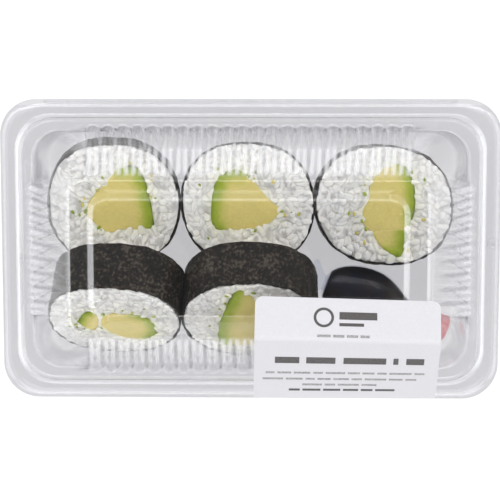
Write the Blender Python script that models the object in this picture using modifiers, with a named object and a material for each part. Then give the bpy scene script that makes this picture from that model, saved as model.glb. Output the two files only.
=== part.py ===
"""A hinged clear takeaway tray with maki rolls, a soy sauce bottle and a label. Metres, +Z up.

The origin is the middle of the tray's footprint on the surface that it stands on. +X runs along the
long side, +Y points to the hinge at the back, and the label's side is the front.
"""

import math

import bmesh
import bpy
from mathutils import Matrix, Vector, noise

MM = 0.001
SHARP_ANGLE = math.radians(40)

# The clear tray and lid
PACK_HALF_LENGTH = 87.5 * MM
PACK_HALF_WIDTH = 52.8 * MM
SHEET = 0.5 * MM
GAP = 0.3 * MM
FLANGE_TOP = 24.5 * MM
FLANGE_CORNER = 12.6 * MM

BEAD_INSET = 6.4 * MM
BEAD_HALF_WIDTH = 1.0 * MM
BEAD_HEIGHT = 1.2 * MM
BEAD_SLOPE = math.radians(60)
BEAD_CORNER = 12.5 * MM

FLUTE_PITCH = 5.23 * MM
FLUTES_LONG = 22
FLUTES_SHORT = 9
FLUTE_SEGMENTS = 4
CORNER_SEGMENTS = 6
SIDE_MARGIN = 0.4 * MM
RING_STRETCHES = 8

TRAY_MOUTH = (75.6 * MM, 41.6 * MM, 9.5 * MM)
TRAY_FOOT = (74.1 * MM, 40.3 * MM, 9.0 * MM)
TRAY_FLOOR_EDGE = (73.0 * MM, 39.2 * MM, 8.0 * MM)
TRAY_PANEL = (66.0 * MM, 33.0 * MM, 6.0 * MM)
TRAY_FLUTE_DEPTH = 1.3 * MM
TRAY_FOOT_HEIGHT = 1.6 * MM
PANEL_RISE = 0.8 * MM
PANEL_STEP = 1.0 * MM

LID_MOUTH = (76.9 * MM, 42.1 * MM, 10.0 * MM)
LID_RIM = (60.8 * MM, 26.7 * MM, 6.5 * MM)
LID_PANEL = (52.5 * MM, 20.2 * MM, 4.5 * MM)
LID_TOP = 50.5 * MM
LID_RIM_ROUND = 0.9 * MM
LID_PANEL_DROP = 1.5 * MM
LID_FLUTE_DEPTH = 1.6 * MM
LID_FLUTE_UPPER_DEPTH = 1.1 * MM
LID_FLUTE_UPPER = 0.72
LID_FLUTE_END = 0.93

HINGE_RADIUS = 0.9 * MM
HINGE_HALF_LENGTH = 72.0 * MM
HINGE_SEGMENTS = 12
NOTCH_HEIGHT = 7.2 * MM

BUTTON_RIGHT = (84.95 * MM, 2.4 * MM)
BUTTON_RIGHT_RADIUS = 2.1 * MM
BUTTON_LEFT = (-80.4 * MM, -3.0 * MM)
BUTTON_LEFT_RADIUS = 1.4 * MM
BUTTON_FLATNESS = 0.5
BUTTON_AROUND = 14
BUTTON_RINGS = 8

# The rolls
ROLL_LENGTH = 18.3 * MM
NORI = 0.5 * MM
ROLL_SEGMENTS = 32
ROLL_SQUARENESS = 2.2
RICE_RINGS = (0.86, 0.70, 0.54, 0.38, 0.22)
RICE_BUMP = 0.75 * MM
GRAIN_WIDTH = 2.9 * MM
FILLING_PROUD = 0.25 * MM
FILLING_STEPS = 3
STANDING = SHEET + PANEL_RISE + GAP

# The soy sauce bottle
BOTTLE_MIDDLE = (41.9 * MM, -19.6 * MM)
BOTTLE_TURN = math.radians(-20.8)
BOTTLE_WALL = 0.8 * MM
BOTTLE_BELLY = 11.2 * MM
BOTTLE_HALF_THICKNESS = 6.4 * MM
BOTTLE_SHOULDER = 17.5 * MM
BOTTLE_TAIL_END = -16.6 * MM
TAIL_ROOT = 1.7 * MM
SHOULDER_FALL = 0.75
BOTTLE_SEGMENTS = 16
BOTTLE_STATIONS = (-16.4, -15.4, -13, -9, -4.5, 0, 4, 8, 11.5, 14.5, 17.5, 26.0)
SOY_STATIONS = (-13.8, -12.5, -9, -4.5, 0, 4, 8, 11.5, 14.5)
TAIL_HALF_FORK = ((-15.9, 1.6), (-17.6, 3.4), (-21, 7), (-22, 4.8), (-20.6, 0))
NECK_RADIUS = 3.3 * MM
NECK_END = 26.0 * MM
CAP_RADIUS = 4.7 * MM
CAP_START = 21.4 * MM
CAP_END = 31.2 * MM
CAP_BORE = 3.65 * MM
CAP_SEGMENTS = 20
TAIL_THICKNESS = 1.4 * MM

# The label
LABEL_WIDTH = 62.0 * MM
LABEL_LEFT = 2.4 * MM
LABEL_BACK = -12.6 * MM
LABEL_THICKNESS = 0.35 * MM
LABEL_CORNER = 2.6 * MM
LABEL_CORNER_SEGMENTS = 3
LABEL_BEND_SEGMENTS = 4
LABEL_BEND_RADIUS = 4.0 * MM
LABEL_SLANT = 0.027
LABEL_FRONT = -52.4 * MM


def clear_scene():
    for obj in list(bpy.data.objects):
        bpy.data.objects.remove(obj, do_unlink=True)


def new_collection(name):
    collection = bpy.data.collections.new(name)
    bpy.context.scene.collection.children.link(collection)
    return collection


def material(name, colour, roughness, alpha=1.0):
    made = bpy.data.materials.new(name)
    made.use_nodes = True
    shader = made.node_tree.nodes["Principled BSDF"]
    shader.inputs["Base Color"].default_value = (*colour, 1.0)
    shader.inputs["Roughness"].default_value = roughness
    shader.inputs["Metallic"].default_value = 0.0
    shader.inputs["Alpha"].default_value = alpha
    return made


def add_object(name, bm, collection, finish=None):
    """Makes bm the mesh of a new object."""
    bmesh.ops.recalc_face_normals(bm, faces=bm.faces)
    mesh = bpy.data.meshes.new(name)
    bm.to_mesh(mesh)
    bm.free()
    mesh.shade_smooth()
    mesh.set_sharp_from_angle(angle=SHARP_ANGLE)
    obj = bpy.data.objects.new(name, mesh)
    collection.objects.link(obj)
    if finish:
        mesh.materials.append(finish)
    return obj


def add_cutter(name, bm):
    cutter = add_object(name, bm, cutters)
    cutter.hide_render = True
    cutter.display_type = "WIRE"
    return cutter


def boolean(obj, other, operation):
    modifier = obj.modifiers.new(f"{operation.lower()}_{other.name}", "BOOLEAN")
    modifier.operation = operation
    modifier.object = other
    modifier.solver = "EXACT"


def solidify(obj, thickness, offset=-1.0):
    modifier = obj.modifiers.new("wall", "SOLIDIFY")
    modifier.thickness = thickness
    modifier.offset = offset
    modifier.use_even_offset = True


# Rings of the tray and the lid


def side_points(half, straight, count, detail, depth):
    """Stations along one straight side: its fraction of the side, its place along it, and its bulge."""
    if detail == "plain":
        return []
    band = min(count * FLUTE_PITCH / 2, straight - SIDE_MARGIN)
    steps = count * FLUTE_SEGMENTS
    found = []
    for i in range(steps + 1):
        across = 2 * (i % FLUTE_SEGMENTS) / FLUTE_SEGMENTS - 1
        if detail == "cusps" and i % FLUTE_SEGMENTS:
            continue
        bulge = depth * math.sqrt(1 - across * across) if i % FLUTE_SEGMENTS else 0.0
        fraction = (i + 1) / (steps + 2)
        found.append((fraction, -band + 2 * band * i / steps, half + bulge))
    return found


def ring(size, z, detail="plain", depth=0.0):
    """A rounded rectangle, as (station, point) pairs, anticlockwise.

    Each side and each corner is one stretch, and stations count them, whatever the ring's detail.
    """
    half_x, half_y, corner = size
    stations = []
    for quarter in range(4):
        along_x = quarter % 2 == 1
        half, straight = (half_y, half_x - corner) if along_x else (half_x, half_y - corner)
        count = FLUTES_LONG if along_x else FLUTES_SHORT
        turn = Matrix.Rotation(quarter * math.pi / 2, 2)
        side = [(0.0, -straight, half)]
        side += side_points(half, straight, count, detail, depth)
        for fraction, along, out in side:
            stations.append((2 * quarter + fraction, turn @ Vector((out, along))))
        for i in range(CORNER_SEGMENTS):
            angle = math.pi / 2 * i / CORNER_SEGMENTS
            arc = Vector((math.cos(angle), math.sin(angle))) * corner
            place = turn @ (Vector((half - corner, straight)) + arc)
            stations.append((2 * quarter + 1 + i / CORNER_SEGMENTS, place))
    return [(station, Vector((place.x, place.y, z))) for station, place in stations]


def add_ring(bm, points):
    return [(station, bm.verts.new(place)) for station, place in points]


def stitch(bm, outer, inner):
    """Joins two rings of unlike detail with triangles, moving on along whichever ring lags."""
    outer = outer + [(RING_STRETCHES, outer[0][1])]
    inner = inner + [(RING_STRETCHES, inner[0][1])]
    i = j = 0
    while i + 1 < len(outer) or j + 1 < len(inner):
        outer_reach = outer[i][0] + outer[i + 1][0] if i + 1 < len(outer) else math.inf
        inner_reach = inner[j][0] + inner[j + 1][0] if j + 1 < len(inner) else math.inf
        if outer_reach <= inner_reach:
            bm.faces.new((outer[i][1], outer[i + 1][1], inner[j][1]))
            i += 1
        else:
            bm.faces.new((outer[i][1], inner[j + 1][1], inner[j][1]))
            j += 1


def shell(name, rings, finish):
    """An open surface through the rings, closed by the last one, with the sheet's thickness under it."""
    bm = bmesh.new()
    rows = [add_ring(bm, points) for points in rings]
    for outer, inner in zip(rows, rows[1:]):
        stitch(bm, outer, inner)
    bm.faces.new([vert for _, vert in rows[-1]])
    obj = add_object(name, bm, parts, finish)
    if obj.data.polygons[-1].normal.z < 0:
        obj.data.flip_normals()
    solidify(obj, SHEET)
    return obj


def inset(amount, corner):
    return (PACK_HALF_LENGTH - amount, PACK_HALF_WIDTH - amount, corner)


def flange_rings(z, spread):
    """The flange and its raised bead. spread widens the bead, so that the lid's fits over the tray's."""
    foot = BEAD_HALF_WIDTH + spread
    top = foot - BEAD_HEIGHT / math.tan(BEAD_SLOPE)
    return [
        ring(inset(0, FLANGE_CORNER), z),
        ring(inset(BEAD_INSET - foot, BEAD_CORNER), z),
        ring(inset(BEAD_INSET - top, BEAD_CORNER), z + BEAD_HEIGHT),
        ring(inset(BEAD_INSET + top, BEAD_CORNER - top), z + BEAD_HEIGHT),
        ring(inset(BEAD_INSET + foot, BEAD_CORNER - foot), z, "cusps"),
    ]


def between(a, b, share):
    return tuple(p + (q - p) * share for p, q in zip(a, b))


def grown(size, amount):
    return tuple(p + amount for p in size)


def build_tray(finish):
    """The base, with a round bead along its back edge that the lid turns about."""
    floor = SHEET
    rings = flange_rings(FLANGE_TOP, 0.0) + [
        ring(TRAY_MOUTH, FLANGE_TOP, "flutes", TRAY_FLUTE_DEPTH),
        ring(TRAY_FOOT, TRAY_FOOT_HEIGHT, "cusps"),
        ring(TRAY_FLOOR_EDGE, floor),
        ring(TRAY_PANEL, floor),
        ring(grown(TRAY_PANEL, -PANEL_STEP), floor + PANEL_RISE),
    ]
    tray = shell("tray", rings, finish)
    bm = bmesh.new()
    axis_y, axis_z = hinge_axis()
    place = Matrix.Translation((0, axis_y, axis_z)) @ Matrix.Rotation(math.pi / 2, 4, "Y")
    bmesh.ops.create_cone(
        bm,
        cap_ends=True,
        segments=HINGE_SEGMENTS,
        radius1=HINGE_RADIUS,
        radius2=HINGE_RADIUS,
        depth=2 * HINGE_HALF_LENGTH,
        matrix=place,
    )
    boolean(tray, add_cutter("hinge_bead", bm), "UNION")


def hinge_axis():
    """The hinge line runs along X at the back edge, halfway between the two flanges."""
    return PACK_HALF_WIDTH - HINGE_RADIUS, FLANGE_TOP + GAP / 2


def build_hinge():
    """An empty on the hinge line, which carries what turns with the lid."""
    hinge = bpy.data.objects.new("lid_hinge", None)
    parts.objects.link(hinge)
    hinge.location = (0, *hinge_axis())
    return hinge


def hang_on(hinge, obj):
    obj.parent = hinge
    obj.matrix_parent_inverse = Matrix.Translation(hinge.location).inverted()


def add_button(lid, name, middle, radius, surface):
    """A low dome with its flat underside in the middle of the sheet."""
    base = surface - SHEET / 2
    bm = bmesh.new()
    place = Matrix.Translation((*middle, base))
    flatness = Matrix.Diagonal((1, 1, BUTTON_FLATNESS, 1))
    segments = {"u_segments": BUTTON_AROUND, "v_segments": BUTTON_RINGS}
    bmesh.ops.create_uvsphere(bm, **segments, radius=radius, matrix=place @ flatness)
    lower = [vert for vert in bm.verts if vert.co.z < base - MM / 100]
    bmesh.ops.delete(bm, geom=lower, context="VERTS")
    rim = [edge for edge in bm.edges if edge.is_boundary]
    bmesh.ops.holes_fill(bm, edges=rim)
    boolean(lid, add_cutter(name, bm), "UNION")


def build_lid(finish):
    """The lid, whose flange lies on the tray's and ends short of the hinge."""
    foot = FLANGE_TOP + GAP + SHEET
    spread = (SHEET + GAP) * math.tan(BEAD_SLOPE / 2)
    rise = LID_TOP - foot
    wall_top = grown(LID_RIM, LID_RIM_ROUND / 2)
    rings = flange_rings(foot, spread) + [
        ring(LID_MOUTH, foot, "flutes", LID_FLUTE_DEPTH),
        ring(
            between(LID_MOUTH, wall_top, LID_FLUTE_UPPER),
            foot + rise * LID_FLUTE_UPPER,
            "flutes",
            LID_FLUTE_UPPER_DEPTH,
        ),
        ring(between(LID_MOUTH, wall_top, LID_FLUTE_END), foot + rise * LID_FLUTE_END, "cusps"),
        ring(wall_top, LID_TOP - LID_RIM_ROUND),
        ring(grown(LID_RIM, -LID_RIM_ROUND / 2), LID_TOP),
        ring(grown(LID_PANEL, LID_PANEL_DROP / 2), LID_TOP),
        ring(grown(LID_PANEL, -LID_PANEL_DROP / 2), LID_TOP - LID_PANEL_DROP),
    ]
    lid = shell("lid", rings, finish)
    axis_y, axis_z = hinge_axis()
    clear = HINGE_RADIUS + GAP
    bm = bmesh.new()
    bmesh.ops.create_cube(
        bm,
        size=1.0,
        matrix=Matrix.Translation((0, axis_y + PACK_HALF_WIDTH / 2 - clear, axis_z))
        @ Matrix.Diagonal((4 * PACK_HALF_LENGTH, PACK_HALF_WIDTH, NOTCH_HEIGHT, 1)),
    )
    boolean(lid, add_cutter("hinge_notch", bm), "DIFFERENCE")
    add_button(lid, "button_right", BUTTON_RIGHT, BUTTON_RIGHT_RADIUS, foot)
    add_button(lid, "button_left", BUTTON_LEFT, BUTTON_LEFT_RADIUS, foot + BEAD_HEIGHT)
    return lid


# Rolls


def roll_radius(roll, angle):
    """The outer radius of a roll at an angle round its own axis: a soft oval with a lobe or two."""
    x = abs(math.cos(angle)) / roll["half_width"]
    y = abs(math.sin(angle)) / roll["half_height"]
    oval = (x**ROLL_SQUARENESS + y**ROLL_SQUARENESS) ** (-1 / ROLL_SQUARENESS)
    lobes = roll["lobe"] * math.sin(2 * angle) + roll["wave"] * (1 - math.cos(4 * angle)) / 2
    return oval + lobes


def roll_outline(roll, inward=0.0):
    steps = [2 * math.pi * i / ROLL_SEGMENTS for i in range(ROLL_SEGMENTS)]
    return [Vector((math.cos(a), math.sin(a))) * (roll_radius(roll, a) - inward) for a in steps]


def leaned(roll, place, z):
    """A standing roll may lean, so its outline shifts with height."""
    share = z / ROLL_LENGTH + 0.5
    return Vector((place.x + roll["lean"][0] * share, place.y + roll["lean"][1] * share, z))


def loft_rows(bm, rows):
    for lower, upper in zip(rows, rows[1:]):
        count = len(lower)
        for i in range(count):
            k = (i + 1) % count
            bm.faces.new((lower[i], lower[k], upper[k], upper[i]))


def set_roll_place(obj, roll):
    obj.location = roll["middle"]
    obj.rotation_euler = (roll["tilt"], 0.0, roll["turn"])


def build_nori(roll, finish):
    """The seaweed sheet round the rice, a tube open at both cut faces."""
    bm = bmesh.new()
    rows = [
        [bm.verts.new(leaned(roll, p, z)) for p in roll_outline(roll)]
        for z in (-ROLL_LENGTH / 2, ROLL_LENGTH / 2)
    ]
    loft_rows(bm, rows)
    obj = add_object(f"nori_{roll['name']}", bm, parts, finish)
    first = obj.data.polygons[0]
    if first.normal.dot(first.center) < 0:
        obj.data.flip_normals()
    solidify(obj, NORI)
    set_roll_place(obj, roll)


def rice_height(roll, place):
    """Bumps as wide as a grain on the cut face."""
    seed = Vector((roll["middle"][0], roll["middle"][1], 0)) / MM
    bump = noise.noise(Vector((place.x, place.y, 0)) / GRAIN_WIDTH + seed)
    return ROLL_LENGTH / 2 - GAP - RICE_BUMP / 2 + RICE_BUMP * bump


def build_rice(roll, finish):
    """The rice as a plug with a bumpy upper cut face, with a passage for each filling."""
    bm = bmesh.new()
    edge = roll_outline(roll, NORI + GAP)
    bottom = [bm.verts.new(leaned(roll, p, -ROLL_LENGTH / 2 + GAP)) for p in edge]
    top = [bm.verts.new(leaned(roll, p, ROLL_LENGTH / 2 - GAP)) for p in edge]
    rows = [bottom, top]
    for share in RICE_RINGS:
        rows.append([bm.verts.new(leaned(roll, p * share, rice_height(roll, p * share))) for p in edge])
    loft_rows(bm, rows)
    middle = bm.verts.new(leaned(roll, Vector((0, 0)), rice_height(roll, Vector((0, 0)))))
    last = rows[-1]
    for i in range(len(last)):
        bm.faces.new((last[i], last[(i + 1) % len(last)], middle))
    bm.faces.new(bottom[::-1])
    rice = add_object(f"rice_{roll['name']}", bm, parts, finish)
    set_roll_place(rice, roll)
    for number, outline in enumerate(roll["fillings"], 1):
        passage = filling_prism(roll, outline, GAP, ROLL_LENGTH)
        cutter = add_cutter(f"passage_{roll['name']}_{number}", passage)
        set_roll_place(cutter, roll)
        boolean(rice, cutter, "DIFFERENCE")


def smooth_outline(points, outward=0.0):
    """A closed Catmull-Rom curve through clockwise points in millimetres, moved outward."""
    count = len(points)
    corners = [Vector(p) * MM for p in points]
    curve = []
    for i in range(count):
        a, b, c, d = (corners[(i + k) % count] for k in (-1, 0, 1, 2))
        for step in range(FILLING_STEPS):
            t = step / FILLING_STEPS
            spot = 0.5 * (
                2 * b
                + (c - a) * t
                + (2 * a - 5 * b + 4 * c - d) * t * t
                + (3 * b - a - 3 * c + d) * t**3
            )
            curve.append(spot)
    moved = []
    for i, spot in enumerate(curve):
        along = (curve[(i + 1) % len(curve)] - curve[i - 1]).normalized()
        moved.append(spot + Vector((-along.y, along.x)) * outward)
    return moved


def filling_prism(roll, outline, outward, half_length):
    bm = bmesh.new()
    points = smooth_outline(outline, outward)
    rows = [[bm.verts.new(leaned(roll, p, z)) for p in points] for z in (-half_length, half_length)]
    loft_rows(bm, rows)
    bm.faces.new(rows[0][::-1])
    bm.faces.new(rows[1])
    return bm


def build_fillings(roll, finish):
    """Each avocado strip runs right through its roll and stands a little proud of the rice."""
    for number, outline in enumerate(roll["fillings"], 1):
        bm = filling_prism(roll, outline, 0.0, ROLL_LENGTH / 2)
        suffix = f"_{number}" if len(roll["fillings"]) > 1 else ""
        strip = add_object(f"avocado_{roll['name']}{suffix}", bm, parts, finish)
        for vert in strip.data.vertices:
            vert.co.z += FILLING_PROUD if vert.co.z > 0 else GAP
        set_roll_place(strip, roll)


def standing_roll(name, x, y, half_width, half_height, lean, lobe, wave, fillings):
    """A roll that stands on one cut face. Its other cut face is centred on x and y."""
    return {
        "name": name,
        "middle": ((x - lean[0]) * MM, (y - lean[1]) * MM, STANDING + ROLL_LENGTH / 2),
        "half_width": half_width * MM,
        "half_height": half_height * MM,
        "lean": (lean[0] * MM, lean[1] * MM),
        "lobe": lobe * MM,
        "wave": wave * MM,
        "tilt": 0.0,
        "turn": 0.0,
        "fillings": fillings,
    }


def leaning_roll(name, x, y, half_width, half_height, tilt, turn, lobe, wave, fillings):
    """A roll on its lower edge that leans back on the rolls behind, with its cut face to the front."""
    tilt = math.radians(tilt)
    roll = standing_roll(name, x, y, half_width, half_height, (0, 0), lobe, wave, fillings)
    lowest = ROLL_LENGTH / 2 * math.cos(tilt) + half_height * MM * math.sin(tilt)
    roll["middle"] = (x * MM, y * MM, STANDING + lowest)
    roll["tilt"] = tilt
    roll["turn"] = math.radians(turn)
    return roll


# The avocado strips on each cut face, in millimetres from the roll's axis, clockwise
STRIP_BACK_LEFT = [
    (14, -3.8), (13.6, -8.6), (4, -9), (-2, -10), (-6.8, -6.6),
    (-9.6, -1), (-1, 9.4), (3, 13.2), (8.6, 13), (12, 6.5),
]
STRIP_BACK_MIDDLE = [
    (11.2, -2.3), (7.8, -6.6), (3, -8.6), (-10.4, -9.2), (-12.8, -6.2), (-12.6, 3),
    (-10.6, 9.4), (-6, 12.3), (-2.4, 11.8), (1.6, 8.6), (6.6, 2.6),
]
STRIP_BACK_RIGHT = [
    (10.8, 0.6), (9.8, -5.2), (6.6, -9.4), (-3.6, -9.6), (-8.4, -4.2),
    (-5.4, 2.6), (-4.6, 8.6), (2.2, 14.2), (7.4, 13.6), (10.2, 8),
]
STRIP_BACK_RIGHT_LOW = [(7.2, -11), (6.2, -17.6), (2.4, -17.6), (-2.8, -12.6), (-2.6, -10.9)]
STRIP_FRONT_LEFT = [
    (15.2, -4.4), (12.2, -10.6), (4.8, -11.4), (-1.4, -8.2),
    (-4.4, -2), (-1.6, 4.4), (7.4, 5.4), (13, 2.4),
]
STRIP_FRONT_LEFT_SIDE = [(-5.6, -4.4), (-8.4, -7.4), (-12.4, -3), (-10.6, 3), (-7.8, 5.2), (-5.6, 2.2)]
STRIP_FRONT_MIDDLE = [
    (7.6, -4), (5, -12.8), (-4.6, -15.4), (-11, -13.6), (-11.8, -6),
    (-9.4, 5), (-5.6, 16.4), (-1.6, 16.6), (4.2, 9),
]

ROLLS = [
    standing_roll("back_left", -48.6, 15.7, 23.5, 21.6, (1.5, -1.5), -0.3, 0.5, [STRIP_BACK_LEFT]),
    standing_roll("back_middle", -0.9, 15.8, 23.4, 22.0, (0.3, 1.0), -0.4, 0.5, [STRIP_BACK_MIDDLE]),
    standing_roll(
        "back_right", 47.4, 15.4, 24.2, 21.4, (0.3, 0.7), -0.5, 0.3, [STRIP_BACK_RIGHT, STRIP_BACK_RIGHT_LOW]
    ),
    leaning_roll(
        "front_left", -47.4, -17.6, 23.1, 21.8, 50, -4, 0.6, 0.3, [STRIP_FRONT_LEFT, STRIP_FRONT_LEFT_SIDE]
    ),
    leaning_roll("front_middle", 0.5, -17.9, 23.5, 21.9, 46, 0, -0.2, 0.4, [STRIP_FRONT_MIDDLE]),
]


# The soy sauce bottle, along local X with its mouth at +X


def bottle_half_width(x):
    """Half the fish-shaped body's width: a full belly, a quick taper to the tail and a slim neck."""
    if x >= BOTTLE_SHOULDER:
        return NECK_RADIUS
    if x < 0:
        return TAIL_ROOT + (BOTTLE_BELLY - TAIL_ROOT) * math.sqrt(max(0.0, 1 - (x / BOTTLE_TAIL_END) ** 2))
    fall = (1 + math.cos(math.pi * x / BOTTLE_SHOULDER)) / 2
    return NECK_RADIUS + (BOTTLE_BELLY - NECK_RADIUS) * fall**SHOULDER_FALL


def bottle_half_thickness(x):
    """The body is flatter than it is wide, and the neck is round."""
    width = bottle_half_width(x)
    flattening = (BOTTLE_HALF_THICKNESS - NECK_RADIUS) / (BOTTLE_BELLY - NECK_RADIUS)
    return min(width, NECK_RADIUS + (width - NECK_RADIUS) * flattening)


def bottle_row(bm, x, inward=0.0):
    half_width, half_thick = bottle_half_width(x) - inward, bottle_half_thickness(x) - inward
    row = []
    for i in range(BOTTLE_SEGMENTS):
        angle = 2 * math.pi * i / BOTTLE_SEGMENTS
        row.append(bm.verts.new((x, half_width * math.cos(angle), half_thick * math.sin(angle))))
    return row


def place_on_floor(obj, own_turn=Matrix.Identity(4)):
    height = STANDING + BOTTLE_HALF_THICKNESS
    turn = Matrix.Rotation(BOTTLE_TURN, 4, "Z")
    obj.matrix_world = Matrix.Translation((*BOTTLE_MIDDLE, height)) @ turn @ own_turn


def build_bottle(finish):
    """The thin bottle, open at its neck, with a forked tail."""
    bm = bmesh.new()
    rows = [bottle_row(bm, x * MM) for x in BOTTLE_STATIONS]
    loft_rows(bm, rows)
    bm.faces.new(rows[0][::-1])
    bottle = add_object("bottle", bm, parts, finish)
    outer = max(bottle.data.polygons, key=lambda face: face.center.z)
    if outer.normal.z < 0:
        bottle.data.flip_normals()
    solidify(bottle, BOTTLE_WALL)
    fork = list(TAIL_HALF_FORK) + [(x, -y) for x, y in reversed(TAIL_HALF_FORK[:-1])]
    bm = bmesh.new()
    rows = [
        [bm.verts.new((x * MM, y * MM, z)) for x, y in fork]
        for z in (-TAIL_THICKNESS / 2, TAIL_THICKNESS / 2)
    ]
    loft_rows(bm, rows)
    bm.faces.new(rows[0][::-1])
    bm.faces.new(rows[1])
    tail = add_cutter("bottle_tail", bm)
    place_on_floor(tail)
    place_on_floor(bottle)
    boolean(bottle, tail, "UNION")


def build_soy_sauce(finish):
    bm = bmesh.new()
    rows = [bottle_row(bm, x * MM, BOTTLE_WALL + 2 * GAP) for x in SOY_STATIONS]
    loft_rows(bm, rows)
    bm.faces.new(rows[0][::-1])
    bm.faces.new(rows[-1])
    place_on_floor(add_object("soy_sauce", bm, parts, finish))


def build_cap(finish):
    """The screw cap, a turned cup over the neck."""
    edge = 0.5 * MM
    profile = [
        (0.0, CAP_END),
        (CAP_RADIUS - edge, CAP_END),
        (CAP_RADIUS, CAP_END - edge),
        (CAP_RADIUS, CAP_START),
        (CAP_BORE, CAP_START),
        (CAP_BORE, NECK_END + GAP),
        (0.0, NECK_END + GAP),
    ]
    bm = bmesh.new()
    verts = [bm.verts.new((r, 0, z)) for r, z in profile]
    for start, end in zip(verts, verts[1:]):
        bm.edges.new((start, end))
    cap = add_object("bottle_cap", bm, parts, finish)
    turn = cap.modifiers.new("turn", "SCREW")
    turn.steps = turn.render_steps = CAP_SEGMENTS
    turn.use_merge_vertices = True
    turn.merge_threshold = 0.00001
    place_on_floor(cap, Matrix.Rotation(math.pi / 2, 4, "Y"))


# The label, a stiff sheet over the lid's front edge


def label_profile():
    """Points (y, z) of the label's underside, from its back edge to the front of the flange."""
    top = LID_TOP + GAP
    crease = -LID_RIM[1] - LID_RIM_ROUND / 2
    low = Vector((LABEL_FRONT, FLANGE_TOP + SHEET + 2 * GAP))
    slope = math.atan2(top - low.y, crease - low.x)
    start = crease + LABEL_BEND_RADIUS * math.tan(slope / 2)
    points = [Vector((LABEL_BACK, top)), Vector((LABEL_BACK - LABEL_CORNER, top))]
    for i in range(LABEL_BEND_SEGMENTS + 1):
        turned = slope * i / LABEL_BEND_SEGMENTS
        along = LABEL_BEND_RADIUS * math.sin(turned)
        fallen = LABEL_BEND_RADIUS * (1 - math.cos(turned))
        points.append(Vector((start - along, top - fallen)))
    points.append(low)
    return points


def build_label(finish):
    """A sheet whose back edge is a little askew, while its front edge follows the flange."""
    back, *front = label_profile()
    quarter = [math.pi / 2 * i / LABEL_CORNER_SEGMENTS for i in range(LABEL_CORNER_SEGMENTS + 1)]
    corner = [(LABEL_CORNER * (1 - math.cos(a)), LABEL_CORNER * (1 - math.sin(a))) for a in quarter]
    stations = corner + [(LABEL_WIDTH - across, drop) for across, drop in reversed(corner)]
    bm = bmesh.new()
    columns = []
    for across, drop in stations:
        skew = across * LABEL_SLANT
        rows = [Vector((back.x - drop - skew, back.y)), Vector((front[0].x - skew, front[0].y))]
        rows += front[1:]
        columns.append([bm.verts.new((LABEL_LEFT + across, p.x, p.y)) for p in rows])
    for left, right in zip(columns, columns[1:]):
        for k in range(len(left) - 1):
            bm.faces.new((left[k], left[k + 1], right[k + 1], right[k]))
    bmesh.ops.remove_doubles(bm, verts=bm.verts, dist=MM / 100)
    label = add_object("label", bm, parts, finish)
    if label.data.polygons[0].normal.z < 0:
        label.data.flip_normals()
    solidify(label, LABEL_THICKNESS, 1.0)
    return label


clear_scene()
parts = new_collection("sushi_tray")
cutters = new_collection("cutters")

clear_plastic = material("clear_plastic", (0.82, 0.83, 0.85), 0.08, 0.25)
nori_sheet = material("nori", (0.022, 0.018, 0.014), 0.6)
rice_white = material("rice", (0.72, 0.70, 0.64), 0.45)
avocado_green = material("avocado", (0.52, 0.47, 0.14), 0.4)
soft_plastic = material("bottle_plastic", (0.8, 0.8, 0.8), 0.15, 0.3)
soy_brown = material("soy_sauce", (0.02, 0.012, 0.008), 0.05)
cap_red = material("cap_red", (0.7, 0.04, 0.05), 0.3)
paper = material("label_paper", (0.84, 0.83, 0.87), 0.6)

build_tray(clear_plastic)
lid_hinge = build_hinge()
hang_on(lid_hinge, build_lid(clear_plastic))
for one_roll in ROLLS:
    build_nori(one_roll, nori_sheet)
    build_rice(one_roll, rice_white)
    build_fillings(one_roll, avocado_green)
build_bottle(soft_plastic)
build_soy_sauce(soy_brown)
build_cap(cap_red)
hang_on(lid_hinge, build_label(paper))
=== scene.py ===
"""A clear hinged takeaway tray with maki rolls, a soy sauce bottle and a label. Metres, +Z up."""

import math
import random

import bmesh
import bpy
from mathutils import Euler, Matrix, Vector, noise


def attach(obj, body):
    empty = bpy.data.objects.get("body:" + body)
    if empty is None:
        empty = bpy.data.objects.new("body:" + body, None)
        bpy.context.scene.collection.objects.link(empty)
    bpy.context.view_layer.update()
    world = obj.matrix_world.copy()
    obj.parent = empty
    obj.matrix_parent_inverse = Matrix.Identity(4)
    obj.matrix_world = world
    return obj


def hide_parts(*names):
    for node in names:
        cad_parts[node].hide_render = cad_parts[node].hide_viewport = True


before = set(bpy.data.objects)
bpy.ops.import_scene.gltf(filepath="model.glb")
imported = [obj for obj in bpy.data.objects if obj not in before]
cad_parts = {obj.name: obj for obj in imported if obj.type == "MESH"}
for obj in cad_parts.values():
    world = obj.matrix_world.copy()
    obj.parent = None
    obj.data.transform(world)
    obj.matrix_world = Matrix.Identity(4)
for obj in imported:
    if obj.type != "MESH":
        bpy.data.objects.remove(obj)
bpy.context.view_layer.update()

MM = 0.001

# The clear tray and lid
PACK_HALF_LENGTH = 87.5 * MM
PACK_HALF_WIDTH = 52.8 * MM
SHEET = 0.5 * MM
GAP = 0.3 * MM
FLANGE_TOP = 24.5 * MM
LID_FLANGE_TOP = FLANGE_TOP + GAP + SHEET
FLANGE_CORNER = 12.6 * MM
BEAD_INSET = 6.4 * MM
BEAD_HEIGHT = 1.2 * MM
BEAD_CORNER = 12.5 * MM
TRAY_BEAD_HALF = 1.0 * MM
LID_BEAD_HALF = 1.46 * MM
FLUTE_PITCH = 5.23 * MM
FLUTES_LONG = 22
FLUTES_SHORT = 9
TRAY_MOUTH = (75.6 * MM, 41.6 * MM, 9.5 * MM)
TRAY_FOOT = (74.1 * MM, 40.3 * MM, 9.0 * MM)
TRAY_FLOOR_EDGE = (73.0 * MM, 39.2 * MM, 8.0 * MM)
TRAY_PANEL = (66.0 * MM, 33.0 * MM, 6.0 * MM)
TRAY_FLUTE_DEPTH = 1.3 * MM
TRAY_FLUTE_FOOT_DEPTH = 0.9 * MM
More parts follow.
